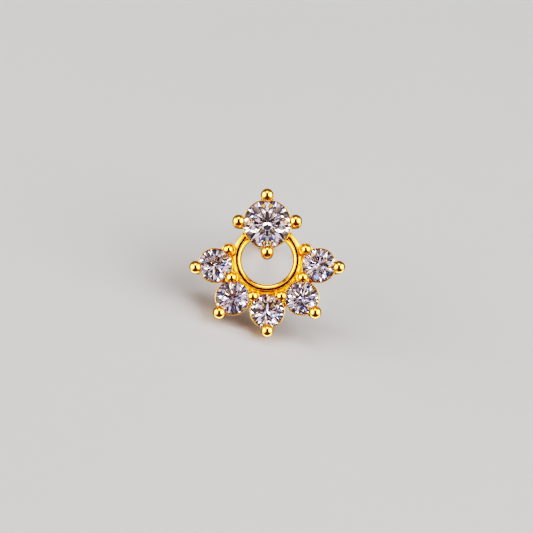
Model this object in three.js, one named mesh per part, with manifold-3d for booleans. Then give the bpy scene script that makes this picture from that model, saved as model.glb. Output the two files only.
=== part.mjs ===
// A gold nose stud: an open ring with a large round stone set across its top and a fan of five
// small round stones below, every stone held by ball-tipped prongs, and a straight post behind.
// The head is modelled face-on: +X to the viewer's right, +Z up, and the face looks along -Y.
// Its flat back lies in the plane y = 0, and the ring's axis is the line x = 0, z = 0.
// The finished stud then lies as it would on a table: on the feet of two prongs and the post's bead.
import * as THREE from "three";
import { mergeVertices } from "three/addons/utils/BufferGeometryUtils.js";
import Module from "manifold-3d";

const wasm = await Module();
wasm.setup();

// Driving sizes, in millimetres and degrees.

// Stones: round brilliants. The shares are of the stone's own sizes.
const mainStoneDiameter = 2.5;
const fanStoneDiameter = 1.75;
const fanStoneCount = 5;
const fanStoneTurns = [7, 15, 3, 19, 11];
const brilliant = {
  tableShare: 0.57,
  starShare: 0.5,
  lowerHalfShare: 0.77,
  thinGirdleShare: 0.018,
  crownAngle: 34.5,
  pavilionAngle: 40.75,
};
const stoneClearance = 0.025;
const mainCuletHeight = 0.25;
const fanCuletHeight = 0.1;

// Ring: a polished wire that slopes to the bore, a sunk groove and a band that slopes outwards.
// A slope is steepest where it rounds over into the bore or the ring's outside.
const boreRadius = 1.4;
const wireWidth = 0.17;
const grooveWidth = 0.12;
const bandWidth = 0.24;
const ringDepth = 0.8;
const grooveDepth = 0.16;
const bandDrop = 0.04;
const edgeRadius = 0.06;
const steepSlope = 33;
const gentleSlope = 5;

// Cups: a straight rim round the girdle, then a taper to the flat back.
const rimWall = 0.07;
const rimLength = 0.35;
const fanTaperWidth = 0.17;
const mainTaperWidth = 0.36;
const fanCupSpacing = 0.1;
const fanLightHoleRadius = 0.35;
const mainOverlapWidth = 0.08;

// Webs: low bridges that tie neighbouring small cups together and to the ring.
const webWidth = 0.3;
const webDepth = 0.6;

// Prongs: a round wire, a shoulder and a ball on its tip. The reach is from the girdle's edge to
// the ball's centre, and the shoulder's width is from the ball's neck to the wire's outside. Past
// the straight length the wire may grow thinner, and its foot has a share of its radius.
const mainProng = {
  ballRadius: 0.34,
  shoulderWidth: 0.07,
  reach: 0.285,
  straightLength: 0.6,
  footShare: 0.6,
};
const outerProng = {
  ballRadius: 0.335,
  shoulderWidth: 0.04,
  reach: 0.205,
  straightLength: 0.35,
  footShare: 1,
};
const sharedProng = {
  ballRadius: 0.295,
  shoulderWidth: 0.13,
  reach: 0.22,
  straightLength: 0.35,
  footShare: 1,
};
const ballLiftShare = 0.6;
const sideProngLift = 4.6;
const endProngTurn = 43;

// Post: a turned pin with a bead on its free end, seated in a collar behind the large stone.
const postRadius = 0.4;
const postReach = 6.5;
const beadRadius = 0.55;
const collarWall = 0.22;
const collarLength = 0.25;
const socketFloor = 0.12;
const socketClearance = 0.025;

// Fineness of the round forms, in steps round the circle or along the arc.
const ringSteps = 56;
const cupSteps = 36;
const prongSteps = 14;
const postSteps = 24;
const edgeArcSteps = 2;
const slopeSteps = 3;
const ballArcSteps = 6;
const brilliantMains = 8;
const girdleStepsPerMain = 4;
const restingRounds = 20;

const goldMaterial = new THREE.MeshStandardMaterial({
  color: 0xe8b230,
  metalness: 1,
  roughness: 0.12,
});
const stoneMaterial = new THREE.MeshStandardMaterial({
  color: 0xf2f4fa,
  metalness: 0,
  roughness: 0.02,
});

// Sizes that follow from the driving ones.

const radians = THREE.MathUtils.degToRad;
const straightDown = -Math.PI / 2;
const wireOuterRadius = boreRadius + wireWidth;
const bandInnerRadius = wireOuterRadius + grooveWidth;
const ringRadius = bandInnerRadius + bandWidth;
const mainStoneRadius = mainStoneDiameter / 2;
const fanStoneRadius = fanStoneDiameter / 2;
const mainRimRadius = mainStoneRadius + rimWall;
const fanRimRadius = fanStoneRadius + rimWall;
const fanRadius = ringRadius + fanStoneRadius;
const fanPitch = 2 * Math.asin((fanRimRadius + fanCupSpacing / 2) / fanRadius);
const fanAngles = Array.from(
  { length: fanStoneCount },
  (_, i) => straightDown + (i - (fanStoneCount - 1) / 2) * fanPitch,
);

// A point of the head at an angle and a distance from the ring's axis, on the back plane.
const polar = (angle, distance) =>
  new THREE.Vector3(distance * Math.cos(angle), 0, distance * Math.sin(angle));

const mainCentre = new THREE.Vector3(0, 0, ringRadius - mainOverlapWidth);
const fanCentres = fanAngles.map((angle) => polar(angle, fanRadius));
const turnOfStone = (i) => fanStoneTurns[i % fanStoneTurns.length];

// Heights of a brilliant above its culet, and its radii, for one stone diameter.
function brilliantSizes(diameter) {
  const radius = diameter / 2;
  const halfMain = Math.PI / brilliantMains;
  const crownSlope = Math.tan(radians(brilliant.crownAngle));
  const pavilionSlope = Math.tan(radians(brilliant.pavilionAngle));
  const tableRadius = radius * brilliant.tableShare;
  const tableFlat = tableRadius * Math.cos(halfMain);
  const starRadius = tableFlat + brilliant.starShare * (radius - tableFlat);
  const lowerRadius = radius * (1 - brilliant.lowerHalfShare);
  // The girdle is thickest where the main facets meet it and dips in between.
  const bulge = radius * (1 - Math.cos((2 * halfMain) / girdleStepsPerMain));
  const crownDip = bulge * crownSlope;
  const pavilionDip = bulge * pavilionSlope;
  const girdleBottom = radius * pavilionSlope;
  const girdleTop =
    girdleBottom + diameter * brilliant.thinGirdleShare + crownDip + pavilionDip;
  const table = girdleTop + (radius - tableRadius) * crownSlope;
  const star = table - (starRadius * Math.cos(halfMain) - tableRadius) * crownSlope;
  const lower = lowerRadius * Math.cos(halfMain) * pavilionSlope;
  return {
    radius,
    tableRadius,
    starRadius,
    lowerRadius,
    crownDip,
    pavilionDip,
    girdleBottom,
    girdleTop,
    table,
    star,
    lower,
  };
}

const mainSizes = brilliantSizes(mainStoneDiameter);
const fanSizes = brilliantSizes(fanStoneDiameter);
const mainRimHeight = mainCuletHeight + mainSizes.girdleTop;
const fanRimHeight = fanCuletHeight + fanSizes.girdleTop;

// Shapes.

// A closed geometry from corners and facets, each facet a list of corner numbers seen from outside.
function facetedGeometry(corners, facets) {
  const index = facets.flatMap((facet) =>
    facet.slice(2).flatMap((corner, i) => [facet[0], facet[i + 1], corner]),
  );
  const geometry = new THREE.BufferGeometry();
  geometry.setAttribute("position", new THREE.Float32BufferAttribute(corners.flat(), 3));
  geometry.setIndex(index);
  return geometry.toNonIndexed();
}

// A round brilliant about the Y axis with its table towards -Y and its culet at y = 0.
function brilliantGeometry(diameter) {
  const s = brilliantSizes(diameter);
  const girdleSteps = brilliantMains * girdleStepsPerMain;
  const corners = [];
  const corner = (radius, turn, height) => {
    const angle = 2 * Math.PI * turn;
    corners.push([radius * Math.cos(angle), -height, radius * Math.sin(angle)]);
    return corners.length - 1;
  };
  const round = (count, make) => Array.from({ length: count }, (_, i) => make(i));
  const dips = (i) => i % 2;
  const table = round(brilliantMains, (k) =>
    corner(s.tableRadius, k / brilliantMains, s.table),
  );
  const star = round(brilliantMains, (k) =>
    corner(s.starRadius, (k + 0.5) / brilliantMains, s.star),
  );
  const top = round(girdleSteps, (i) =>
    corner(s.radius, i / girdleSteps, s.girdleTop - dips(i) * s.crownDip),
  );
  const bottom = round(girdleSteps, (i) =>
    corner(s.radius, i / girdleSteps, s.girdleBottom + dips(i) * s.pavilionDip),
  );
  const lower = round(brilliantMains, (k) =>
    corner(s.lowerRadius, (k + 0.5) / brilliantMains, s.lower),
  );
  const culet = corner(0, 0, 0);
  const facets = [table];
  for (let k = 0; k < brilliantMains; k++) {
    const next = (k + 1) % brilliantMains;
    const before = (k + brilliantMains - 1) % brilliantMains;
    const g = (i) => (k * girdleStepsPerMain + i) % girdleSteps;
    facets.push([table[next], table[k], star[k]]);
    facets.push([table[k], star[before], top[g(0)], star[k]]);
    facets.push([star[k], top[g(0)], top[g(1)], top[g(2)]]);
    facets.push([star[k], top[g(2)], top[g(3)], top[g(4)]]);
    facets.push([lower[k], bottom[g(2)], bottom[g(1)], bottom[g(0)]]);
    facets.push([lower[k], bottom[g(4)], bottom[g(3)], bottom[g(2)]]);
    facets.push([culet, lower[k], bottom[g(0)], lower[before]]);
  }
  for (let i = 0; i < girdleSteps; i++) {
    const next = (i + 1) % girdleSteps;
    facets.push([top[i], bottom[i], bottom[next], top[next]]);
  }
  return facetedGeometry(corners, facets);
}

// A brilliant turned about its own axis by some degrees.
const turnedBrilliant = (diameter, turn) => brilliantGeometry(diameter).rotateY(radians(turn));

// A closed three.js geometry as a solid that can be joined and cut.
function solidOf(geometry) {
  const bare = geometry.clone();
  bare.deleteAttribute("normal");
  bare.deleteAttribute("uv");
  const merged = mergeVertices(bare, 1e-5);
  const corners = merged.index.array;
  const triVerts = [];
  for (let i = 0; i < corners.length; i += 3) {
    const [a, b, c] = corners.slice(i, i + 3);
    if (a !== b && b !== c && c !== a) triVerts.push(a, b, c);
  }
  return new wasm.Manifold(
    new wasm.Mesh({
      numProp: 3,
      vertProperties: new Float32Array(merged.attributes.position.array),
      triVerts: new Uint32Array(triVerts),
    }),
  );
}

// A solid as a three.js geometry again.
function geometryOf(solid) {
  const mesh = solid.getMesh();
  const positions = new Float32Array(mesh.numVert * 3);
  for (let i = 0; i < mesh.numVert; i++) {
    const start = i * mesh.numProp;
    positions.set(mesh.vertProperties.subarray(start, start + 3), i * 3);
  }
  const geometry = new THREE.BufferGeometry();
  geometry.setAttribute("position", new THREE.BufferAttribute(positions, 3));
  geometry.setIndex(new THREE.BufferAttribute(mesh.triVerts, 1));
  return geometry;
}

// A round form about the Y axis from a profile of [radius, height in front of the back plane].
function turnedGeometry(profile, steps) {
  const points = profile.map(([radius, height]) => new THREE.Vector2(radius, -height));
  return new THREE.LatheGeometry(points, steps);
}

// A plain pin about the Y axis between two heights.
function pinSolid(radius, fromHeight, toHeight, steps) {
  const profile = [
    [0, toHeight],
    [radius, toHeight],
    [radius, fromHeight],
    [0, fromHeight],
  ];
  return solidOf(turnedGeometry(profile, steps));
}

// Points of an elliptical arc round a centre, from one angle to another.
function arc([radius, height], width, rise, fromAngle, toAngle, steps) {
  return Array.from({ length: steps + 1 }, (_, i) => {
    const angle = fromAngle + ((toAngle - fromAngle) * i) / steps;
    return [radius + width * Math.cos(angle), height + rise * Math.sin(angle)];
  });
}

// One side of the ring's front, from its crest to the edge: a slope that grows steeper all the way,
// then a rounded edge down to an upright wall.
function slopeProfile(crestRadius, wallRadius, crestHeight) {
  const side = Math.sign(wallRadius - crestRadius);
  const steep = radians(steepSlope);
  const start = Math.tan(radians(gentleSlope));
  const growth = Math.tan(steep) - start;
  const length = Math.abs(wallRadius - crestRadius) - edgeRadius * (1 - Math.sin(steep));
  const slope = Array.from({ length: slopeSteps }, (_, i) => {
    const share = i / slopeSteps;
    const drop = length * (start * share + (growth * share ** 2) / 2);
    return [crestRadius + side * length * share, crestHeight - drop];
  });
  const foot = crestHeight - length * (start + growth / 2);
  const edgeMiddle = [wallRadius - side * edgeRadius, foot - edgeRadius * Math.cos(steep)];
  const from = Math.PI / 2 - steep;
  const edge = arc(edgeMiddle, side * edgeRadius, edgeRadius, from, 0, edgeArcSteps);
  return [...slope, ...edge];
}

// The open ring: wire, groove and band on one flat back.
function ringSolid() {
  const grooveHeight = ringDepth - grooveDepth;
  const wire = slopeProfile(wireOuterRadius, boreRadius, ringDepth);
  const band = slopeProfile(bandInnerRadius, ringRadius, ringDepth - bandDrop);
  const profile = [
    [boreRadius, 0],
    ...wire.reverse(),
    [wireOuterRadius, grooveHeight],
    [bandInnerRadius, grooveHeight],
    ...band,
    [ringRadius, 0],
    [boreRadius, 0],
  ];
  return solidOf(turnedGeometry(profile, ringSteps));
}

// A cup about the Y axis, solid until its seat is cut.
function cupSolid(rimRadius, taper, rimHeight) {
  const profile = [
    [0, rimHeight],
    [rimRadius, rimHeight],
    [rimRadius, rimHeight - rimLength],
    [rimRadius - taper, 0],
    [0, 0],
  ];
  return solidOf(turnedGeometry(profile, cupSteps));
}

// A prong's wire is as wide as the ball's neck and the shoulder round it.
const wireRadiusOf = (prong) =>
  prong.ballRadius * Math.sqrt(1 - ballLiftShare ** 2) + prong.shoulderWidth;

// How much thinner a prong's foot is than its wire, measured on the radius.
const thinningOf = (prong) => wireRadiusOf(prong) * (1 - prong.footShare);

// A prong about the Y axis: a round wire from the back plane, a rounded shoulder and a ball.
function prongGeometry(prong, shoulderHeight) {
  const lift = ballLiftShare * prong.ballRadius;
  const neckAngle = -Math.asin(ballLiftShare);
  const wireRadius = wireRadiusOf(prong);
  const round = prong.shoulderWidth / 2;
  const ballCentre = [0, shoulderHeight + lift];
  const size = prong.ballRadius;
  const ball = arc(ballCentre, size, size, Math.PI / 2, neckAngle, ballArcSteps);
  const profile = [
    [0, shoulderHeight + lift + size],
    ...ball.slice(1),
    [wireRadius - round, shoulderHeight],
    [wireRadius, shoulderHeight - round],
    [wireRadius, shoulderHeight - prong.straightLength],
    [wireRadius - thinningOf(prong), 0],
    [0, 0],
  ];
  return turnedGeometry(profile, prongSteps);
}

// Where a cup tapers, its prongs lean in with it: below the knee, each level of the prong moves
// against the outward direction, at the foot by as much as the cup's wall and the thinning take.
function leanIn(geometry, outward, kneeHeight, lean) {
  const position = geometry.attributes.position;
  for (let i = 0; i < position.count; i++) {
    const height = -position.getY(i);
    const shift = lean * Math.max(0, (kneeHeight - height) / kneeHeight);
    position.setX(i, position.getX(i) - shift * outward.x);
    position.setZ(i, position.getZ(i) - shift * outward.z);
  }
  return geometry;
}

function prongSolid(prong, stoneCentre, stoneRadius, angle, rimHeight, taper) {
  const outward = polar(angle, 1);
  const geometry = prongGeometry(prong, rimHeight);
  leanIn(geometry, outward, rimHeight - prong.straightLength, taper + thinningOf(prong));
  const foot = stoneCentre.clone().addScaledVector(outward, stoneRadius + prong.reach);
  return solidOf(geometry.translate(foot.x, 0, foot.z));
}

// The shared prongs stand at the same reach from both neighbours, on the ring's side of them.
function sharedProngSolids() {
  const halfChord = fanRadius * Math.sin(fanPitch / 2);
  const toStone = fanStoneRadius + sharedProng.reach;
  const inward = Math.sqrt(toStone ** 2 - halfChord ** 2);
  const distance = fanRadius * Math.cos(fanPitch / 2) - inward;
  return fanAngles.slice(1).map((angle) => {
    const foot = polar(angle - fanPitch / 2, distance);
    return solidOf(prongGeometry(sharedProng, fanRimHeight).translate(foot.x, 0, foot.z));
  });
}

// The last prong at each end of the fan stands on the ring's side of its stone, turned away from
// the other stones.
function endProngSolids() {
  const ends = [
    { i: 0, side: 1 },
    { i: fanStoneCount - 1, side: -1 },
  ];
  return ends.map(({ i, side }) => {
    const angle = fanAngles[i] + Math.PI + side * radians(endProngTurn);
    return prongSolid(sharedProng, fanCentres[i], fanStoneRadius, angle, fanRimHeight, 0);
  });
}

function webSolids() {
  const length = fanRadius - bandInnerRadius;
  return fanAngles.slice(1).map((angle) => {
    const web = new THREE.BoxGeometry(length, webDepth, webWidth);
    web.translate(bandInnerRadius + length / 2, -webDepth / 2, 0);
    web.rotateY(fanPitch / 2 - angle);
    return solidOf(web);
  });
}

function fanMetal() {
  const cup = cupSolid(fanRimRadius, fanTaperWidth, fanRimHeight);
  const cups = fanCentres.map((centre) => cup.translate(centre.x, 0, centre.z));
  const outerProngs = fanCentres.map((centre, i) =>
    prongSolid(outerProng, centre, fanStoneRadius, fanAngles[i], fanRimHeight, fanTaperWidth),
  );
  return [
    ...cups,
    ...outerProngs,
    ...sharedProngSolids(),
    ...endProngSolids(),
    ...webSolids(),
  ];
}

function mainMetal() {
  const lift = radians(sideProngLift);
  const angles = [Math.PI / 2, lift, straightDown, Math.PI - lift];
  const prongs = angles.map((angle) =>
    prongSolid(mainProng, mainCentre, mainStoneRadius, angle, mainRimHeight, mainTaperWidth),
  );
  const cup = cupSolid(mainRimRadius, mainTaperWidth, mainRimHeight);
  const collarRadius = postRadius + socketClearance + collarWall;
  const collar = pinSolid(collarRadius, -collarLength, mainCuletHeight, postSteps);
  return [
    cup.translate(0, 0, mainCentre.z),
    collar.translate(0, 0, mainCentre.z),
    ...prongs,
  ];
}

// The seat of a stone is cut with a copy that is larger by the clearance all round.
function seatCutter(diameter, culetHeight, centre, turn) {
  const wide = diameter + 2 * stoneClearance;
  const girdleMiddle = (s) => (s.girdleBottom + s.girdleTop) / 2;
  const rise = girdleMiddle(brilliantSizes(diameter)) - girdleMiddle(brilliantSizes(wide));
  const cutter = solidOf(turnedBrilliant(wide, turn));
  return cutter.translate(centre.x, -culetHeight - rise, centre.z);
}

// The socket runs from outside the collar to a floor just short of the large stone's culet.
const socketHeight = mainCuletHeight - socketFloor;

function settingSolid() {
  const postHole = pinSolid(
    postRadius + socketClearance,
    -2 * collarLength,
    socketHeight,
    postSteps,
  );
  const lightHole = pinSolid(
    fanLightHoleRadius,
    -fanCuletHeight,
    fanCuletHeight + fanLightHoleRadius,
    cupSteps,
  );
  const cuts = [
    postHole.translate(0, 0, mainCentre.z),
    seatCutter(mainStoneDiameter, mainCuletHeight, mainCentre, 0),
    ...fanCentres.map((centre, i) =>
      seatCutter(fanStoneDiameter, fanCuletHeight, centre, turnOfStone(i)),
    ),
    ...fanCentres.map((centre) => lightHole.translate(centre.x, 0, centre.z)),
  ];
  const metal = [ringSolid(), ...fanMetal(), ...mainMetal()];
  const joined = metal.reduce((whole, piece) => whole.add(piece));
  return cuts.reduce((whole, cut) => whole.subtract(cut), joined);
}

// The post runs straight back from its seat in the socket to the bead on its free end.
const beadHeight = -(collarLength + postReach);

function postGeometry() {
  const neckAngle = Math.acos(postRadius / beadRadius);
  const bead = arc(
    [0, beadHeight],
    beadRadius,
    beadRadius,
    neckAngle,
    -Math.PI / 2,
    postSteps / 2,
  );
  const profile = [
    [0, socketHeight - socketClearance],
    [postRadius, socketHeight - socketClearance],
    ...bead.slice(0, -1),
    [0, beadHeight - beadRadius],
  ];
  return geometryOf(solidOf(turnedGeometry(profile, postSteps)));
}

// The stud, face-on, as separate pieces.

const stud = new THREE.Group();

function addPiece(name, geometry, material, centre, height) {
  const mesh = new THREE.Mesh(geometry, material);
  mesh.name = name;
  mesh.position.set(centre.x, -height, centre.z);
  stud.add(mesh);
}

const ringCentre = new THREE.Vector3();
addPiece("gold_setting", geometryOf(settingSolid()), goldMaterial, ringCentre, 0);
addPiece("nose_post", postGeometry(), goldMaterial, mainCentre, 0);
addPiece(
  "main_stone",
  brilliantGeometry(mainStoneDiameter),
  stoneMaterial,
  mainCentre,
  mainCuletHeight,
);
fanCentres.forEach((centre, i) => {
  const stone = turnedBrilliant(fanStoneDiameter, turnOfStone(i));
  addPiece(`fan_stone_${i + 1}`, stone, stoneMaterial, centre, fanCuletHeight);
});

// Which way is up when the stud lies on a table: across the plane that touches, from below, the
// feet of the middle outer prong and the one to its left, and the post's bead. Which points touch
// depends on that direction, so it is found in a few rounds.
function restingUp() {
  const middle = (fanStoneCount - 1) / 2;
  const footDistance = fanRadius + fanStoneRadius + outerProng.reach - fanTaperWidth;
  const footRadius = wireRadiusOf(outerProng);
  const beadCentre = mainCentre.clone().setY(-beadHeight);
  const up = new THREE.Vector3(0, 0, 1);
  for (let round = 0; round < restingRounds; round++) {
    const upOnBack = up.clone().setY(0).normalize();
    const footPoint = (i) =>
      polar(fanAngles[i], footDistance).addScaledVector(upOnBack, -footRadius);
    const beadPoint = beadCentre.clone().addScaledVector(up, -beadRadius);
    const across = footPoint(middle).sub(footPoint(middle - 1));
    up.crossVectors(across, beadPoint.sub(footPoint(middle))).normalize();
  }
  return up;
}

// The stud is turned so that it lies on the plane z = 0 with its face towards -Y.
const up = restingUp();
const backward = new THREE.Vector3(0, 1, 0);
backward.addScaledVector(up, -backward.dot(up)).normalize();
const sideways = new THREE.Vector3().crossVectors(backward, up);
const lying = new THREE.Matrix4().makeBasis(sideways, backward, up).transpose();
stud.quaternion.setFromRotationMatrix(lying);

// The origin is on the table, under the middle of the stud.
const box = new THREE.Box3().setFromObject(stud, true);
const centre = box.getCenter(new THREE.Vector3());
stud.position.set(-centre.x, -centre.y, -box.min.z);

export default stud;
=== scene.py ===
import bpy
import numpy as np
from mathutils import Matrix, Vector


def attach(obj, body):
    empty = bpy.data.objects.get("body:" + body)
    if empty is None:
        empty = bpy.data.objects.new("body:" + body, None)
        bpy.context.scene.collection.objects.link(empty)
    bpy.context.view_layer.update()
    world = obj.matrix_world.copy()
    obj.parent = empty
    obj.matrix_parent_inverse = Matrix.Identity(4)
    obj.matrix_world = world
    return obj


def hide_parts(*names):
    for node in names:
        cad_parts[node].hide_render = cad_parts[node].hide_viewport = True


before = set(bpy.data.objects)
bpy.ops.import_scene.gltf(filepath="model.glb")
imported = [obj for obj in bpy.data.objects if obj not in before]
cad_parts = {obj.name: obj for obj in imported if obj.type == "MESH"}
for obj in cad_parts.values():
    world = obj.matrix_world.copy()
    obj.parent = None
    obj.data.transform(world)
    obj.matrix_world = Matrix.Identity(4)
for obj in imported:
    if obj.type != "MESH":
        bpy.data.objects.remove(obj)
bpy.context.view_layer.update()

print("stage: frame loaded,", len(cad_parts), "nodes")

mm = 0.001  # the head is drawn in millimetres and goes to the row in metres


# The head's own axes: x to the wearer's right in the picture, z up, y into the skin. The flat back
# is the plane y = 0 and the ring's axis is the line x = z = 0. A point's height is its -y.
head = {
    "fanRadius": 2.805,  # ring axis to the small stones' axes
    "fanCuletHeight": 0.1,
    "fanStones": ["fan_stone_1", "fan_stone_2", "fan_stone_3", "fan_stone_4", "fan_stone_5"],
}


def nodePoints(name):
    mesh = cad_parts[name].data
    flat = np.empty(len(mesh.vertices) * 3)
    mesh.vertices.foreach_get("co", flat)
    return np.unique(flat.reshape(-1, 3).round(8), axis=0) / mm


def unit(vector):
    return vector / np.linalg.norm(vector)


def headToRow():
    # the outer two and the middle small stone fix the head's axes, the middle one's culet its back
    left, middle, right = (nodePoints(head["fanStones"][i]) for i in (0, 2, 4))
    across = unit(right.mean(0) - left.mean(0))
    upward = unit((left.mean(0) + right.mean(0)) / 2 - middle.mean(0))
    outward = np.cross(across, upward)
    centre = middle.mean(0) + head["fanRadius"] * upward
    backPlane = (middle @ outward).min() - head["fanCuletHeight"]
    centre = centre + (backPlane - centre @ outward) * outward
    matrix = np.eye(4)
    matrix[:3, :3] = np.stack([across, -outward, upward], axis=1)
    matrix[:3, 3] = centre
    return matrix


rowMatrix = headToRow()
rowTurn = rowMatrix[:3, :3]


def inHead(points):
    return (points - rowMatrix[:3, 3]) @ rowTurn


def inRow(points):
    return np.asarray(points) @ rowTurn.T + rowMatrix[:3, 3]


def polar(angle, distance):
    return np.array([distance * np.cos(angle), 0.0, distance * np.sin(angle)])


# Sizes of the setting in millimetres, as the solids have them.
stones = {
    "mainRadius": 1.25,
    "fanRadius": 0.875,
    "mainCulet": 0.25,
    "fanCulet": 0.1,
    "mainGirdle": (1.3273, 1.4095),  # heights of the girdle's lower and upper edge at its points
    "fanGirdle": (0.8541, 0.9116),
    "clearance": 0.025,
}
fanCentres = [inHead(nodePoints(name)).mean(0) * [1, 0, 1] for name in head["fanStones"]]
fanAngles = [np.arctan2(c[2], c[0]) % (2 * np.pi) for c in fanCentres]
fanPitch = fanAngles[1] - fanAngles[0]
mainCentre = inHead(nodePoints("main_stone")).mean(0) * [0, 0, 1]


# Surfaces: a grid of points, rows along the profile and columns round the axis.

def gridObject(name, grid, loop=False):
    # closed round the axis, a pole where a row has shrunk to a point, and the last row may meet
    # the first, as on a ring
    rows, steps = grid.shape[:2]
    points = grid.reshape(-1, 3)
    nextRow = (np.arange(rows) + 1) % rows
    lastRow = rows if loop else rows - 1
    i, j = np.meshgrid(np.arange(lastRow), np.arange(steps), indexing="ij")
    a = i * steps + j
    b = i * steps + (j + 1) % steps
    c = nextRow[i] * steps + (j + 1) % steps
    d = nextRow[i] * steps + j
    faces = np.stack([a, b, c, d], axis=-1).reshape(-1, 4)
    mesh = bpy.data.meshes.new(name)
    mesh.from_pydata(points.tolist(), [], faces.tolist())
    made = bpy.data.objects.new(name, mesh)
    bpy.context.scene.collection.objects.link(made)
    cleanMesh(mesh)
    return made


def cleanMesh(mesh):
    # a pole's points become one, and the faces point outwards
    import bmesh
    work = bmesh.new()
    work.from_mesh(mesh)
    bmesh.ops.remove_doubles(work, verts=work.verts, dist=1e-6)
    bmesh.ops.dissolve_degenerate(work, edges=work.edges, dist=1e-6)
    bmesh.ops.recalc_face_normals(work, faces=work.faces)
    work.to_mesh(mesh)
    work.free()


def turned(name, profile, steps, centre=(0, 0, 0), loop=False, lean=None):
    # profile is rows of radius and height; each row becomes a circle about the y axis
    radius, height = np.asarray(profile, float).T
    angle = np.linspace(0, 2 * np.pi, steps, endpoint=False)
    grid = np.empty((len(radius), steps, 3))
    grid[..., 0] = radius[:, None] * np.cos(angle)
    grid[..., 1] = -height[:, None]
    grid[..., 2] = radius[:, None] * np.sin(angle)
    if lean:
        # below the knee each circle moves inwards, as far as the cup's wall has tapered there
        knee, taper, outward = lean
        shift = taper * np.clip((knee - height) / knee, 0, None)
        grid -= shift[:, None, None] * outward
    return gridObject(name, grid + np.asarray(centre, float), loop)


def arc(centre, width, rise, start, end, steps):
    # points of an ellipse from one angle to another, in degrees
    angle = np.radians(np.linspace(start, end, steps + 1))
    return np.stack([centre[0] + width * np.cos(angle), centre[1] + rise * np.sin(angle)], axis=1)


def rounded(corners, radii, steps=6):
    # a closed outline whose corners are rounded: at each one, a quadratic curve between the points
    # that lie a radius away along its two sides
    corners = np.asarray(corners, float)
    line = []
    for before, corner, after, radius in zip(
        np.roll(corners, 1, 0), corners, np.roll(corners, -1, 0), radii
    ):
        if radius == 0:
            line.append(corner[None])
            continue
        start = corner + radius * unit(before - corner)
        end = corner + radius * unit(after - corner)
        t = np.linspace(0, 1, steps + 1)[:, None]
        line.append((1 - t) ** 2 * start + 2 * t * (1 - t) * corner + t ** 2 * end)
    return np.concatenate(line)


# Ring: a wire that slopes to the bore, a sunk groove, and a band that slopes outwards.
ring = {
    "bore": 1.4,
    "wireWidth": 0.17,
    "grooveWidth": 0.12,
    "bandWidth": 0.24,
    "depth": 0.8,
    "grooveDepth": 0.16,
    "bandDrop": 0.04,
    "edge": 0.06,
    "steep": np.radians(33),
    "gentle": np.radians(5),
    "backEdge": 0.04,
    "slopeSteps": 18,
    "steps": 288,
}
ring["wireOuter"] = ring["bore"] + ring["wireWidth"]
ring["bandInner"] = ring["wireOuter"] + ring["grooveWidth"]
ring["outer"] = ring["bandInner"] + ring["bandWidth"]


def slopeProfile(crest, wall, height):
    # from the crest a parabola, gentle at first and steep at the end, then a quarter round into
    # the upright wall
    side = np.sign(wall - crest)
    start = np.tan(ring["gentle"])
    growth = np.tan(ring["steep"]) - start
    length = abs(wall - crest) - ring["edge"] * (1 - np.sin(ring["steep"]))
    share = np.linspace(0, 1, ring["slopeSteps"] + 1)[:-1]
    drop = length * (start * share + growth * share ** 2 / 2)
    slope = np.stack([crest + side * length * share, height - drop], axis=1)
    foot = height - length * (start + growth / 2)
    middle = (wall - side * ring["edge"], foot - ring["edge"] * np.cos(ring["steep"]))
    turn = 90 - np.degrees(ring["steep"])
    return np.concatenate([slope, arc(middle, side * ring["edge"], ring["edge"], turn, 0, 8)])


def ringBody():
    floor = ring["depth"] - ring["grooveDepth"]
    edge = ring["backEdge"]
    wire = slopeProfile(ring["wireOuter"], ring["bore"], ring["depth"])[::-1]
    band = slopeProfile(ring["bandInner"], ring["outer"], ring["depth"] - ring["bandDrop"])
    inner = arc((ring["bore"] + edge, edge), edge, edge, 270, 180, 4)
    outer = arc((ring["outer"] - edge, edge), edge, edge, 0, -90, 4)
    groove = [[ring["wireOuter"], floor], [ring["bandInner"], floor]]
    profile = np.concatenate([inner, wire, groove, band, outer])
    return turned("ringBody", profile, ring["steps"], loop=True)


# Beading: a row of tiny grains raised with a knurling wheel along the wire's edge, over the groove.
beading = {"pitch": 0.098, "radius": 0.04, "circle": 1.575, "height": 0.77, "rows": 5, "steps": 8}


def beadingRow():
    middle = beading["circle"]
    count = int(round(2 * np.pi * middle / beading["pitch"]))
    spot = 2 * np.pi * np.arange(count) / count
    # none under the large stone, whose cup sits across the ring
    fromStone = np.hypot(middle * np.cos(spot), middle * np.sin(spot) - mainCentre[2])
    spot = spot[fromStone > stones["mainRadius"] + beading["radius"]]
    polarAngle = np.linspace(0, np.pi, beading["rows"] + 1)
    turn = np.linspace(0, 2 * np.pi, beading["steps"], endpoint=False)
    # each grain is a ball: its rows run from the tip down, its columns go round it
    local = np.empty((beading["rows"] + 1, beading["steps"], 3))
    local[..., 0] = np.sin(polarAngle)[:, None] * np.cos(turn)
    local[..., 1] = -np.cos(polarAngle)[:, None]
    local[..., 2] = np.sin(polarAngle)[:, None] * np.sin(turn)
    local *= beading["radius"]
    centres = np.stack([middle * np.cos(spot), 0 * spot - beading["height"], middle * np.sin(spot)], 1)
    rows, steps = local.shape[:2]
    points = (centres[:, None, None] + local[None]).reshape(-1, 3)
    i, j = np.meshgrid(np.arange(rows - 1), np.arange(steps), indexing="ij")
    quad = np.stack([i * steps + j, i * steps + (j + 1) % steps,
                     (i + 1) * steps + (j + 1) % steps, (i + 1) * steps + j], -1).reshape(-1, 4)
    faces = (quad[None] + (np.arange(len(spot)) * rows * steps)[:, None, None]).reshape(-1, 4)
    mesh = bpy.data.meshes.new("beading")
    mesh.from_pydata(points.tolist(), [], faces.tolist())
    made = bpy.data.objects.new("beading", mesh)
    bpy.context.scene.collection.objects.link(made)
    cleanMesh(mesh)
    return made


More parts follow.
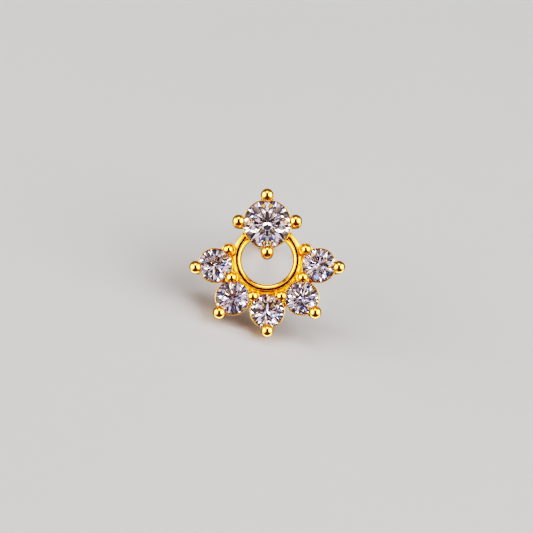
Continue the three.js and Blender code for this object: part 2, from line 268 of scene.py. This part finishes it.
# Cups: straight rim, taper to the back, and a bevelled seat inside that follows the stone.
cup = {
    "rimWall": 0.07,
    "rimLength": 0.35,
    "fanTaper": 0.17,
    "mainTaper": 0.36,
    "lightHole": 0.35,
    "seatRound": 0.008,  # at the seat's upper edge
    "rimRound": 0.03,
    "kneeRound": 0.12,  # where the wall starts to taper
    "backRound": 0.05,
    "holeRounds": (0.03, 0.02),  # behind and inside the light hole
    "seatFootRound": 0.01,
    "steps": 144,
}


def cupBody(name, centre, stoneRadius, culet, girdle, taper, openBack):
    rim = stoneRadius + cup["rimWall"]
    top = girdle[1]
    seat = stoneRadius + stones["clearance"]
    # the seat runs parallel to the pavilion, a clearance outside it
    slope = (girdle[0] - culet) / stoneRadius
    drop = stones["clearance"] * np.sqrt(1 + slope ** 2)
    seatHeight = culet - drop + slope * seat
    hole = cup["lightHole"]
    back = rim - taper
    outline = [[seat, top], [rim, top], [rim, top - cup["rimLength"]], [back, 0]]
    radii = [cup["seatRound"], cup["rimRound"], cup["kneeRound"], cup["backRound"]]
    if openBack:
        outline += [[hole, 0], [hole, culet - drop + slope * hole], [seat, seatHeight]]
        radii += [*cup["holeRounds"], cup["seatFootRound"]]
        profile = rounded(outline, radii)
        return turned(name, profile, cup["steps"], centre, loop=True)
    outline += [[0, 0], [0, culet - drop], [seat, seatHeight]]
    radii += [0, 0, cup["seatFootRound"]]
    profile = rounded(outline, radii)
    start = int(np.argmin(np.hypot(*(profile - [0, culet - drop]).T)))
    profile = np.roll(profile, -start, 0)  # from the seat's lowest point round to the back's middle
    return turned(name, profile, cup["steps"], centre)


# Prongs: round wire, rounded shoulder, ball.
prongs = {
    "main": {"ball": 0.34, "shoulder": 0.07, "reach": 0.285, "straight": 0.6, "foot": 0.6},
    "outer": {"ball": 0.335, "shoulder": 0.04, "reach": 0.205, "straight": 0.35, "foot": 1.0},
    "shared": {"ball": 0.295, "shoulder": 0.13, "reach": 0.22, "straight": 0.35, "foot": 1.0},
    "lift": 0.6,  # the ball's centre above the shoulder, as a share of its radius
    "sideLift": np.radians(4.6),
    "endTurn": np.radians(43),
    "footRound": 0.04,
    "steps": 64,
}


def prongBody(name, kind, foot, top, outward=None, taper=0.0):
    # below the straight part the wire may grow thinner, and leans in by the cup's taper and by
    # what it has lost
    size = prongs[kind]
    ball = size["ball"]
    lift = prongs["lift"] * ball
    neckAngle = -np.degrees(np.arcsin(prongs["lift"]))
    wire = ball * np.cos(np.radians(neckAngle)) + size["shoulder"]
    bend = size["shoulder"] / 2
    edge = prongs["footRound"]
    knee = top - size["straight"]
    end = wire * size["foot"]
    heights = np.linspace(knee, edge, 9)
    stem = np.stack([end + (wire - end) * heights / knee, heights], axis=1)
    profile = np.concatenate([
        arc((0, top + lift), ball, ball, 90, neckAngle, 26),
        arc((wire - bend, top - bend), bend, bend, 90, 0, 8),
        stem,
        arc((end - edge, edge), edge, edge, 0, -90, 4),
        [[0, 0]],
    ])
    profile[0, 0] = 0
    lean = None if outward is None else (knee, taper + wire - end, outward)
    return turned(name, profile, prongs["steps"], foot, lean=lean)


def fanProngs():
    top = stones["fanGirdle"][1]
    made = []
    for i, (angle, centre) in enumerate(zip(fanAngles, fanCentres)):
        foot = centre + polar(angle, stones["fanRadius"] + prongs["outer"]["reach"])
        made.append(prongBody(f"outerProng{i}", "outer", foot, top, polar(angle, 1), cup["fanTaper"]))
    # shared ones stand at the same reach from both neighbours, on the ring's side
    reach = stones["fanRadius"] + prongs["shared"]["reach"]
    chord = head["fanRadius"] * np.sin(fanPitch / 2)
    distance = head["fanRadius"] * np.cos(fanPitch / 2) - np.sqrt(reach ** 2 - chord ** 2)
    for i, angle in enumerate(fanAngles[1:]):
        foot = polar(angle - fanPitch / 2, distance)
        made.append(prongBody(f"sharedProng{i}", "shared", foot, top))
    for i, side in ((0, 1), (-1, -1)):
        turn = fanAngles[i] + np.pi + side * prongs["endTurn"]
        foot = fanCentres[i] + polar(turn, reach)
        made.append(prongBody(f"endProng{side}", "shared", foot, top))
    return made


def mainProngs():
    top = stones["mainGirdle"][1]
    angles = [np.pi / 2, prongs["sideLift"], -np.pi / 2, np.pi - prongs["sideLift"]]
    made = []
    for i, angle in enumerate(angles):
        foot = mainCentre + polar(angle, stones["mainRadius"] + prongs["main"]["reach"])
        made.append(prongBody(f"mainProng{i}", "main", foot, top, polar(angle, 1), cup["mainTaper"]))
    return made


# Webs: saddles between neighbouring small cups, thickest at the ring and hollowed at the outer end.
web = {"width": 0.3, "depth": 0.6, "outer": 2.8, "hollow": 0.12, "dish": 0.05, "steps": 12}


def webBody(name, angle):
    # u runs out from the ring, v across; the top dishes down and the outer end curves inwards
    u = np.linspace(0, 1, web["steps"] + 1)
    v = np.linspace(-1, 1, web["steps"] + 1)
    uu, vv = np.meshgrid(u, v, indexing="ij")
    end = web["outer"] - web["hollow"] * (1 - vv ** 2)
    radius = ring["bandInner"] + uu * (end - ring["bandInner"])
    across = vv * web["width"] / 2
    height = web["depth"] - web["dish"] * (1 - vv ** 2)
    outward, sideways = polar(angle, 1), polar(angle + np.pi / 2, 1)
    top = radius[..., None] * outward + across[..., None] * sideways
    bottom = top.copy()
    top[..., 1] = -height
    count = uu.size
    points = np.concatenate([top.reshape(-1, 3), bottom.reshape(-1, 3)])
    number = np.arange(count).reshape(uu.shape)
    quads = np.stack([number[:-1, :-1], number[1:, :-1], number[1:, 1:], number[:-1, 1:]], -1)
    quads = quads.reshape(-1, 4)
    rim = np.concatenate([number[:, 0], number[-1, 1:], number[-2::-1, -1], number[0, -2:0:-1]])
    following = np.roll(rim, -1)
    walls = np.stack([rim, following, following + count, rim + count], -1)
    faces = np.concatenate([quads, quads[:, ::-1] + count, walls])
    mesh = bpy.data.meshes.new(name)
    mesh.from_pydata(points.tolist(), [], faces.tolist())
    made = bpy.data.objects.new(name, mesh)
    bpy.context.scene.collection.objects.link(made)
    cleanMesh(mesh)
    return made


# Post: a drawn wire in a short collar, a bead on its free end.
post = {
    "radius": 0.4,
    "reach": 6.5,
    "bead": 0.55,
    "collarWall": 0.22,
    "collar": 0.25,
    "collarEdge": 0.06,
    "collarSunk": 0.2,  # how far the collar reaches into the cup
    "floor": 0.12,  # metal left between socket and seat
    "topEdge": 0.03,
    "clearance": 0.025,
    "steps": 96,
}


def collarBody():
    outer = post["radius"] + post["clearance"] + post["collarWall"]
    edge = post["collarEdge"]
    profile = np.concatenate([
        [[0, post["collarSunk"]]],
        [[outer, post["collarSunk"]]],
        [[outer, 0.0]],
        arc((outer - edge, edge - post["collar"]), edge, edge, 0, -90, 6),
        [[0, -post["collar"]]],
    ])
    return turned("collar", profile, post["steps"], mainCentre)


def socketCutter():
    radius = post["radius"] + post["clearance"]
    top = stones["mainCulet"] - post["floor"]
    below = -4 * post["collar"]  # well past the collar's end
    profile = [[0, top], [radius, top], [radius, below], [0, below]]
    return turned("socketCutter", profile, post["steps"], mainCentre)


def postBody():
    radius, bead = post["radius"], post["bead"]
    top = stones["mainCulet"] - post["floor"] - post["clearance"]
    end = -post["collar"] - post["reach"]
    neckAngle = np.degrees(np.arccos(radius / bead))
    edge = post["topEdge"]
    profile = np.concatenate([
        [[0, top]],
        arc((radius - edge, top - edge), edge, edge, 90, 0, 4),
        [[radius, height] for height in np.linspace(-radius, end + bead, 12)],
        arc((0, end), bead, bead, neckAngle, -90, 40),
    ])
    profile[-1, 0] = 0
    return turned("nosePin", profile, post["steps"], mainCentre)


# Joining: the setting is one casting, so its forms are fused and its seats cut.

def fuse(name, parts, cutters):
    whole = parts[0]
    for other, operation in [(p, "UNION") for p in parts[1:]] + [(c, "DIFFERENCE") for c in cutters]:
        modifier = whole.modifiers.new(operation.lower(), "BOOLEAN")
        modifier.operation = operation
        modifier.solver = "MANIFOLD"
        modifier.object = other
    ready = whole.evaluated_get(bpy.context.evaluated_depsgraph_get())
    mesh = bpy.data.meshes.new_from_object(ready)
    for piece in parts + cutters:
        bpy.data.objects.remove(piece)
    mesh.name = name
    made = bpy.data.objects.new(name, mesh)
    bpy.context.scene.collection.objects.link(made)
    return made


def toRow(piece, sharpAngle):
    # from the head's millimetres to the row's metres, smooth but for the real edges
    matrix = Matrix((rowMatrix * mm).tolist())
    matrix[3][3] = 1
    piece.data.transform(matrix)
    piece.data.polygons.foreach_set("use_smooth", [True] * len(piece.data.polygons))
    piece.data.set_sharp_from_angle(angle=np.radians(sharpAngle))
    piece.data.update()
    return piece


def stoneCutter(name, grow):
    # the stone's own facets, grown from the middle of its girdle by the clearance
    points = inHead(nodePoints(name))
    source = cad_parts[name].data
    mesh = source.copy()
    flat = np.empty(len(mesh.vertices) * 3)
    mesh.vertices.foreach_get("co", flat)
    local = inHead(flat.reshape(-1, 3) / mm)
    axis = points.mean(0) * [1, 0, 1]
    radius = np.hypot(*(points - axis)[:, [0, 2]].T)
    girdle = points[radius > radius.max() - 0.001]
    middle = axis + [0, girdle[:, 1].mean(), 0]
    local = middle + (local - middle) * (1 + grow / radius.max())
    mesh.vertices.foreach_set("co", local.ravel())
    made = bpy.data.objects.new(name + "Cutter", mesh)
    bpy.context.scene.collection.objects.link(made)
    cleanMesh(mesh)
    return made


# Materials.

def linear(hexColour):
    # sRGB hex to linear
    value = np.array([int(hexColour[i:i + 2], 16) for i in (1, 3, 5)]) / 255
    return (*np.where(value <= 0.04045, value / 12.92, ((value + 0.055) / 1.055) ** 2.4), 1.0)


def node(tree, kind, settings=None, links=None):
    # adds a node, sets its properties and inputs, and links its inputs
    made = tree.nodes.new(kind)
    for key, value in (settings or {}).items():
        if isinstance(key, int) or key in made.inputs:
            made.inputs[key].default_value = value
        else:
            setattr(made, key, value)
    for key, source in (links or {}).items():
        tree.links.new(source, made.inputs[key])
    return made


def newMaterial(name):
    made = bpy.data.materials.new(name)
    made.use_nodes = True
    made.node_tree.nodes.clear()
    return made, made.node_tree


def yellowGold(name, tones, smooth, dull, grain):
    # Cast yellow gold, read by its dark and bright reflections. Fine marks of the buff, about 0.05 mm
    # apart, soften the highlights' edges: a mirror on balls and wire, a soft sheen where the buff
    # hardly reaches, between cups, webs and band. The grain is how strongly the marks stand out.
    made, tree = newMaterial(name)
    place = node(tree, "ShaderNodeTexCoord").outputs["Object"]
    marks = node(tree, "ShaderNodeTexNoise", {"Scale": 1 / (0.05 * mm), "Detail": 3.0}, {
        "Vector": place,
    })
    cloud = node(tree, "ShaderNodeTexNoise", {"Scale": 1 / (0.9 * mm), "Detail": 2.0}, {
        "Vector": place,
    })
    rough = node(tree, "ShaderNodeMapRange", {"To Min": smooth, "To Max": dull}, {
        "Value": marks.outputs["Fac"],
    })
    tint = node(tree, "ShaderNodeMix", {"data_type": "RGBA"}, {"Factor": cloud.outputs["Fac"]})
    tint.inputs[6].default_value = linear(tones[0])
    tint.inputs[7].default_value = linear(tones[1])
    bump = node(tree, "ShaderNodeBump", {"Strength": grain, "Distance": 0.01 * mm}, {
        "Height": marks.outputs["Fac"],
    })
    shader = node(tree, "ShaderNodeBsdfPrincipled", {"Metallic": 1.0}, {
        "Base Color": tint.outputs[2],
        "Roughness": rough.outputs["Result"],
        "Normal": bump.outputs["Normal"],
    })
    node(tree, "ShaderNodeOutputMaterial", {}, {"Surface": shader.outputs["BSDF"]})
    return made


def paintedShadeRecessGold():
    # The same gold where no buff reaches, sunk and dull. Its near-black colour is painted shade, so the
    # groove reads as a dark line beside its row of grains.
    made, tree = newMaterial("paintedShadeRecessGold")
    place = node(tree, "ShaderNodeTexCoord").outputs["Object"]
    shadeNoise = node(tree, "ShaderNodeTexNoise", {"Scale": 1 / (0.06 * mm), "Detail": 3.0}, {
        "Vector": place,
    })
    tint = node(tree, "ShaderNodeMix", {"data_type": "RGBA"}, {"Factor": shadeNoise.outputs["Fac"]})
    # two near-black steps of colour: painted shade in the groove, varied by noise
    tint.inputs[6].default_value = linear("#1E0F02")
    tint.inputs[7].default_value = linear("#50300A")
    shader = node(tree, "ShaderNodeBsdfPrincipled", {"Metallic": 1.0, "Roughness": 0.5}, {
        "Base Color": tint.outputs[2],
    })
    node(tree, "ShaderNodeOutputMaterial", {}, {"Surface": shader.outputs["BSDF"]})
    return made


# Which faces of the setting get which finish, in millimetres, and from what angle an edge is sharp.
finish = {
    "aboveStone": 0.01,  # a ball starts this far over its stone's girdle
    "mainReach": 1.75,  # the large stone's prongs lie within this of its axis
    "hair": 0.003,
    "wireFoot": 0.2,
    "grooveFloor": 0.02,  # how far under its floor and under the band's brink the groove is counted
    "grooveBrink": 0.005,
    "settingSharp": 32,
    "grainSharp": 60,
    "pinSharp": 40,
}


def finishSetting(piece, mirror, satinWithShade, paintedShadeRecess):
    # mirror on the balls and the wire; satin elsewhere, whose darker tone is painted shade; and
    # near-black painted shade on the recess between wire and band
    mesh = piece.data
    paint(piece, mirror)
    mesh.materials.append(satinWithShade)
    mesh.materials.append(paintedShadeRecess)
    flat = np.empty(len(mesh.polygons) * 3)
    mesh.polygons.foreach_get("center", flat)
    centre = inHead(flat.reshape(-1, 3) / mm)
    radius = np.hypot(centre[:, 0], centre[:, 2])
    fromStone = np.hypot(centre[:, 0], centre[:, 2] - mainCentre[2])
    height = -centre[:, 1]
    above, hair = finish["aboveStone"], finish["hair"]
    balls = height > stones["mainGirdle"][1] + above
    balls |= (height > stones["fanGirdle"][1] + above) & (fromStone > finish["mainReach"])
    wire = (radius < ring["wireOuter"] + hair) & (height > finish["wireFoot"])
    wire &= height < ring["depth"] + hair
    inside = (radius > ring["wireOuter"] - hair) & (radius < ring["bandInner"] + hair)
    lowest = ring["depth"] - ring["grooveDepth"] - finish["grooveFloor"]
    highest = ring["depth"] - ring["bandDrop"] - finish["grooveBrink"]
    # the groove's faces, which get the near-black painted shade
    paintedShadeFaces = inside & (height > lowest) & (height < highest)
    mesh.polygons.foreach_set("material_index", np.where(paintedShadeFaces, 2, np.where(balls | wire, 0, 1)))


def setRamp(ramp, tones):
    # steps of colour, each from its own place up to the next one's
    ramp.color_ramp.interpolation = "CONSTANT"
    stops = ramp.color_ramp.elements
    while len(stops) < len(tones):
        stops.new(1.0)
    for stop, (place, colour) in zip(stops, tones):
        stop.position, stop.color = place, linear(colour)


def cutZirconia(name, shades):
    # Colourless cubic zirconia, cut and polished: facets flash white and dark. Its fire, the blue and
    # brown flashes, is a faint tint that changes from facet to facet.
    made, tree = newMaterial(name)
    shade = node(tree, "ShaderNodeAttribute", {"attribute_name": "facetShade"})
    ramp = node(tree, "ShaderNodeValToRGB", {}, {"Fac": shade.outputs["Fac"]})
    setRamp(ramp, shades)
    shader = node(tree, "ShaderNodeBsdfPrincipled", {
        "Roughness": 0.0,
        "IOR": 2.16,
        "Transmission Weight": 1.0,
    }, {"Base Color": ramp.outputs["Color"]})
    node(tree, "ShaderNodeOutputMaterial", {}, {"Surface": shader.outputs["BSDF"]})
    return made


def shadeFacets(name, seed):
    # one value for all triangles of a facet, told by the way the facet faces
    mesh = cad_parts[name].data
    flat = np.empty(len(mesh.polygons) * 3)
    mesh.polygons.foreach_get("normal", flat)
    facing = flat.reshape(-1, 3) @ rowTurn
    # directions within about a degree count as one facet
    facet = np.unique((facing * 50).round(), axis=0, return_inverse=True)[1].ravel()
    value = (facet * 0.618034 + seed) % 1  # the golden ratio spreads neighbours' values apart
    value[facing[:, 1] < -0.99] = 0  # the table stays colourless
    attribute = mesh.attributes.new("facetShade", "FLOAT", "FACE")
    attribute.data.foreach_set("value", value)


def paleCard():
    # the studio's floor: matt pale card with the least unevenness
    made, tree = newMaterial("paleCard")
    place = node(tree, "ShaderNodeTexCoord").outputs["Object"]
    cloud = node(tree, "ShaderNodeTexNoise", {"Scale": 40.0, "Detail": 2.0}, {"Vector": place})
    tint = node(tree, "ShaderNodeMix", {"data_type": "RGBA"}, {"Factor": cloud.outputs["Fac"]})
    tint.inputs[6].default_value = linear("#8C8B89")
    tint.inputs[7].default_value = linear("#908E8D")
    shader = node(tree, "ShaderNodeBsdfPrincipled", {"Roughness": 0.9}, {"Base Color": tint.outputs[2]})
    node(tree, "ShaderNodeOutputMaterial", {}, {"Surface": shader.outputs["BSDF"]})
    return made


def paint(piece, material):
    piece.data.materials.clear()
    piece.data.materials.append(material)


# Making the pieces.
gold = yellowGold("polishedYellowGold", ("#FFB24C", "#FFB858"), 0.05, 0.12, 0.008)
mainFinish = cutZirconia("mainZirconia", [
    (0.0, "#FFFFFF"), (0.55, "#DDE5F8"), (0.7, "#F2DDC9"), (0.88, "#FFFFFF"),
])
# the small stones' copy of the same zirconia: its blue and peach steps are painted fire, and its greyer
# steps are painted shade that makes them darker than the large stone
shadedFanFinish = cutZirconia("shadedFanZirconia", [
    (0.0, "#F6F4F6"), (0.5, "#A4B9F0"), (0.62, "#F2D8C4"), (0.8, "#E0E3F2"),
])

fanCups = [
    cupBody(f"fanCup{i}", centre, stones["fanRadius"], stones["fanCulet"], stones["fanGirdle"],
            cup["fanTaper"], True)
    for i, centre in enumerate(fanCentres)
]
mainCup = cupBody("mainCup", mainCentre, stones["mainRadius"], stones["mainCulet"],
                  stones["mainGirdle"], cup["mainTaper"], False)
webs = [webBody(f"web{i}", angle - fanPitch / 2) for i, angle in enumerate(fanAngles[1:])]
parts = [ringBody(), *fanCups, mainCup, *webs, *fanProngs(), *mainProngs(), collarBody()]
cutters = [stoneCutter(name, stones["clearance"]) for name in ["main_stone", *head["fanStones"]]]
cutters.append(socketCutter())
print("stage: forms of the setting made,", len(parts), "parts")

setting = toRow(fuse("goldSetting", parts, cutters), finish["settingSharp"])
# the satin copy is rougher, which is real; its darker, more orange colour than the polished gold's is
# painted shade
shadedSatin = yellowGold("shadedSatinYellowGold", ("#E09640", "#F2AC54"), 0.16, 0.3, 0.9)
finishSetting(setting, gold, shadedSatin, paintedShadeRecessGold())
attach(setting, "root")
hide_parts("gold_setting")
print("stage: setting fused,", len(setting.data.polygons), "faces")

grains = toRow(beadingRow(), finish["grainSharp"])
paint(grains, gold)
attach(grains, "root")
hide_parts("gold_setting")

pin = toRow(postBody(), finish["pinSharp"])
paint(pin, gold)
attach(pin, "root")
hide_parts("nose_post")

paint(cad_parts["main_stone"], mainFinish)
shadeFacets("main_stone", 0.0)
for i, name in enumerate(head["fanStones"]):
    paint(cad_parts[name], shadedFanFinish)
    shadeFacets(name, 0.37 * i)
print("stage: beading, pin and stones done")


# Stage: pale floor, soft light, and a camera at the photograph's angle to the stud.
studio = {
    "floorHalf": 1.5,  # metres
    "seen": "#E4E3E1",  # what stands behind the floor's far edge
    "front": 0.22,  # brightness of the tent on the camera's side, behind the stud and low down
    "behind": 0.2,
    "low": 0.08,
    "tentCool": "#EEF3FF",
    "tentWarm": "#FFF6EC",
    # two ovals of the tent, placed as the soft boxes are: the dark opening for the lens, whose number
    # multiplies, and a bright card low down for the underside of each ball, whose number is added
    "lens": {
        "off": 4, "clock": 270, "half": (17, 24), "inside": 0.04, "outside": 1.0, "soft": (0.8, 1.15),
    },
    "under": {
        "off": 124, "clock": 270, "half": (70, 22), "inside": 5.0, "outside": 0.0, "soft": (0.6, 1.2),
    },
    "boxDistance": 0.42,  # metres
    "boxAim": 1.0,  # millimetres in front of the setting's back
}

# Soft boxes: angle from the camera's line and clock angle round it (0 right, 90 up), half width and
# half height in degrees, and radiance. Each has a bright core in front of a wider, dimmer face.
softBoxes = {
    "left": {"off": 65, "clock": 174, "half": (46, 45), "radiance": 1.0},
    "leftCore": {"off": 60, "clock": 173, "half": (34, 34), "radiance": 5.0},
    "right": {"off": 65, "clock": 6, "half": (46, 45), "radiance": 1.0},
    "rightCore": {"off": 60, "clock": 7, "half": (34, 34), "radiance": 5.0},
    "top": {"off": 56, "clock": 90, "half": (24, 20), "radiance": 1.2},
    "topCore": {"off": 54, "clock": 90, "half": (15, 12), "radiance": 5.5},
}

# What the cut stones gather: a room of small lights and dark gaps, each about as wide as one cell. The
# tones are steps from one share of the cells to the next, from the dark gaps to the lights.
sparkle = {
    "cell": 3.4,  # degrees
    "sectors": 8,
    "strength": 8.0,
    "tones": [
        (0.0, "#171418"), (0.14, "#201C1E"), (0.36, "#302823"), (0.53, "#15203E"), (0.59, "#42352C"),
        (0.71, "#433E40"), (0.81, "#5D5963"), (0.88, "#FFFFFF"),
    ],
}


def makeFloor():
    half = studio["floorHalf"]
    mesh = bpy.data.meshes.new("floor")
    corners = [(-half, -half, 0), (half, -half, 0), (half, half, 0), (-half, half, 0)]
    mesh.from_pydata(corners, [], [(0, 1, 2, 3)])
    made = bpy.data.objects.new("floor", mesh)
    bpy.context.scene.collection.objects.link(made)
    paint(made, paleCard())
    # hidden from glossy and transmission rays, the pale floor stays out of the metal and the stones, as
    # black cards out of view would keep it
    made.visible_glossy = False
    made.visible_transmission = False
    return made


def lampDirection(off, clock):
    across, upward, towards = viewAxes()
    off, clock = np.radians(off), np.radians(clock)
    aside = np.cos(clock) * across + np.sin(clock) * upward
    return np.cos(off) * towards + np.sin(off) * aside


def makeSoftBox(name, receivers):
    # an oval area lamp that faces the stud and lights the pieces in the list alone: on the stones'
    # upper facets its reflection would hide what they gather
    box = softBoxes[name]
    direction = lampDirection(box["off"], box["clock"])
    distance = studio["boxDistance"]
    size = 2 * distance * np.tan(np.radians(box["half"]))
    data = bpy.data.lights.new(name + "Box", "AREA")
    data.shape = "ELLIPSE"
    data.size, data.size_y = size
    area = np.pi / 4 * size[0] * size[1]
    data.energy = box["radiance"] * np.pi * area  # watts for this radiance
    light = bpy.data.objects.new(name + "Box", data)
    bpy.context.scene.collection.objects.link(light)
    side = unit(np.cross(viewAxes()[1], direction))
    matrix = np.eye(4)
    matrix[:3, :3] = np.stack([side, np.cross(direction, side), direction], axis=1)
    matrix[:3, 3] = inRow([0, -studio["boxAim"], 0]) * mm + distance * direction
    light.matrix_world = Matrix(matrix.tolist())
    lit = bpy.data.collections.new(name + "Lit")
    for piece in receivers:
        lit.objects.link(piece)
    light.light_linking.receiver_collection = lit


def makeWorld():
    # metal and floor see a dim tent with a dark opening for the lens, which gives the metal its black
    # reflections. The stones gather the sparkle instead. Seen directly, the world is plain and pale.
    upward, towards = viewAxes()[1:]
    world = bpy.data.worlds.new("studio")
    world.use_nodes = True
    tree = world.node_tree
    tree.nodes.clear()
    way = node(tree, "ShaderNodeTexCoord").outputs["Generated"]

    def along(axis):
        made = node(tree, "ShaderNodeVectorMath", {"operation": "DOT_PRODUCT"}, {0: way})
        made.inputs[1].default_value = axis.tolist()
        return made.outputs["Value"]

    def number(operation, *values):
        made = node(tree, "ShaderNodeMath", {"operation": operation})
        for i, value in enumerate(values):
            if isinstance(value, (int, float)):
                made.inputs[i].default_value = value
            else:
                tree.links.new(value, made.inputs[i])
        return made.outputs["Value"]

    def patch(off, clock, half, inside, outside, soft):
        # an oval in the sky: its own value inside, one around it, and a smooth edge between
        middle = lampDirection(off, clock)
        side = unit(np.cross(upward, middle))
        top = np.cross(middle, side)
        spot = node(tree, "ShaderNodeCombineXYZ", {}, {
            "X": along(side / np.sin(np.radians(half[0]))),
            "Y": along(top / np.sin(np.radians(half[1]))),
            "Z": number("MULTIPLY", number("MINIMUM", along(middle), 0.0), 50.0),
        })
        apart = node(tree, "ShaderNodeVectorMath", {"operation": "LENGTH"}, {0: spot.outputs["Vector"]})
        made = node(tree, "ShaderNodeMapRange", {
            "interpolation_type": "SMOOTHSTEP",
            "From Min": soft[0], "From Max": soft[1], "To Min": inside, "To Max": outside,
        }, {"Value": apart.outputs["Value"]})
        return made.outputs["Result"]

    def slope(source, start, end, low, high):
        made = node(tree, "ShaderNodeMapRange", {
            "interpolation_type": "SMOOTHSTEP",
            "From Min": start, "From Max": end, "To Min": low, "To Max": high,
        }, {"Value": source})
        return made.outputs["Result"]

    tent = slope(along(towards), -0.5, 0.2, studio["behind"], studio["front"])
    lowShare = studio["low"] / studio["front"]
    tent = number("MULTIPLY", tent, slope(along(upward), -0.9, -0.1, lowShare, 1.0))
    tent = number("MULTIPLY", tent, patch(**studio["lens"]))
    tent = number("ADD", tent, patch(**studio["under"]))
    height = slope(along(np.array([0.0, 0.0, 1.0])), -0.2, 0.9, 0.0, 1.0)
    tint = node(tree, "ShaderNodeMix", {"data_type": "RGBA"}, {"Factor": height})
    tint.inputs[6].default_value = linear(studio["tentWarm"])
    tint.inputs[7].default_value = linear(studio["tentCool"])
    glow = node(tree, "ShaderNodeBackground", {}, {"Color": tint.outputs[2], "Strength": tent})

    # the direction is folded into equal mirrored sectors round the face's normal, so each stone shows
    # its star
    aside, above = along(rowTurn[:, 0]), along(rowTurn[:, 2])
    sector = number("PINGPONG", number("ARCTAN2", above, aside), np.pi / sparkle["sectors"])
    away = number("SQRT", number("ADD", number("POWER", aside, 2.0), number("POWER", above, 2.0)))
    folded = node(tree, "ShaderNodeCombineXYZ", {}, {
        "X": number("MULTIPLY", away, number("COSINE", sector)),
        "Y": number("MULTIPLY", away, number("SINE", sector)),
        "Z": along(-rowTurn[:, 1]),
    })
    perCell = 1 / np.radians(sparkle["cell"])
    cells = node(tree, "ShaderNodeTexVoronoi", {"Scale": perCell}, {
        "Vector": folded.outputs["Vector"],
    })
    pick = node(tree, "ShaderNodeSeparateColor", {}, {"Color": cells.outputs["Color"]})
    ramp = node(tree, "ShaderNodeValToRGB", {}, {"Fac": pick.outputs["Red"]})
    setRamp(ramp, sparkle["tones"])
    spread = number("MULTIPLY", slope(pick.outputs["Green"], 0.0, 1.0, 0.8, 1.2), sparkle["strength"])
    flashes = node(tree, "ShaderNodeBackground", {}, {
        "Color": ramp.outputs["Color"], "Strength": spread,
    })

    seen = node(tree, "ShaderNodeBackground", {"Color": linear(studio["seen"]), "Strength": 1.0})
    path = node(tree, "ShaderNodeLightPath")
    stonesOwn = node(tree, "ShaderNodeMixShader", {}, {
        0: path.outputs["Is Transmission Ray"], 1: glow.outputs[0], 2: flashes.outputs[0],
    })
    both = node(tree, "ShaderNodeMixShader", {}, {
        0: path.outputs["Is Camera Ray"], 1: stonesOwn.outputs[0], 2: seen.outputs[0],
    })
    node(tree, "ShaderNodeOutputWorld", {}, {"Surface": both.outputs[0]})
    bpy.context.scene.world = world


# In the picture: where the ring's centre is and how many pixels a millimetre has, in a 533 frame.
view = {
    "frame": 533,
    "ringCentre": (267.2, 258.9),
    "pixelsPerMm": 18.57,
    "belowNormal": np.radians(6),
    "distance": 160.0,
    "sensor": 36.0,
}


def viewAxes():
    # the camera stands a little below the face's normal, and the stud stands upright in its picture
    outward, upward, across = -rowTurn[:, 1], rowTurn[:, 2], rowTurn[:, 0]
    low = view["belowNormal"]
    towards = np.cos(low) * outward - np.sin(low) * upward
    return across, np.cross(towards, across), towards


def makeCamera():
    across, upward, towards = viewAxes()
    middle = view["frame"] / 2
    aside = (middle - view["ringCentre"][0]) / view["pixelsPerMm"]
    above = (view["ringCentre"][1] - middle) / view["pixelsPerMm"]
    stoneLevel = stones["fanGirdle"][1]
    target = inRow([0, -stoneLevel, 0]) + aside * across + above * upward
    data = bpy.data.cameras.new("camera")
    data.sensor_width = view["sensor"]
    data.lens = view["sensor"] * view["distance"] / (view["frame"] / view["pixelsPerMm"])
    data.clip_start, data.clip_end = 0.005, 10  # metres
    camera = bpy.data.objects.new("camera", data)
    bpy.context.scene.collection.objects.link(camera)
    matrix = np.eye(4)
    matrix[:3, :3] = np.stack([across, upward, towards], axis=1)
    matrix[:3, 3] = (target + view["distance"] * towards) * mm
    camera.matrix_world = Matrix(matrix.tolist())
    bpy.context.scene.camera = camera


floor = makeFloor()
makeWorld()
makeCamera()
for name in softBoxes:
    makeSoftBox(name, [setting, grains, pin, floor])
bpy.context.scene.view_settings.view_transform = "Filmic"
bpy.context.scene.view_settings.look = "Very High Contrast"
print("stage: floor, light and camera set")
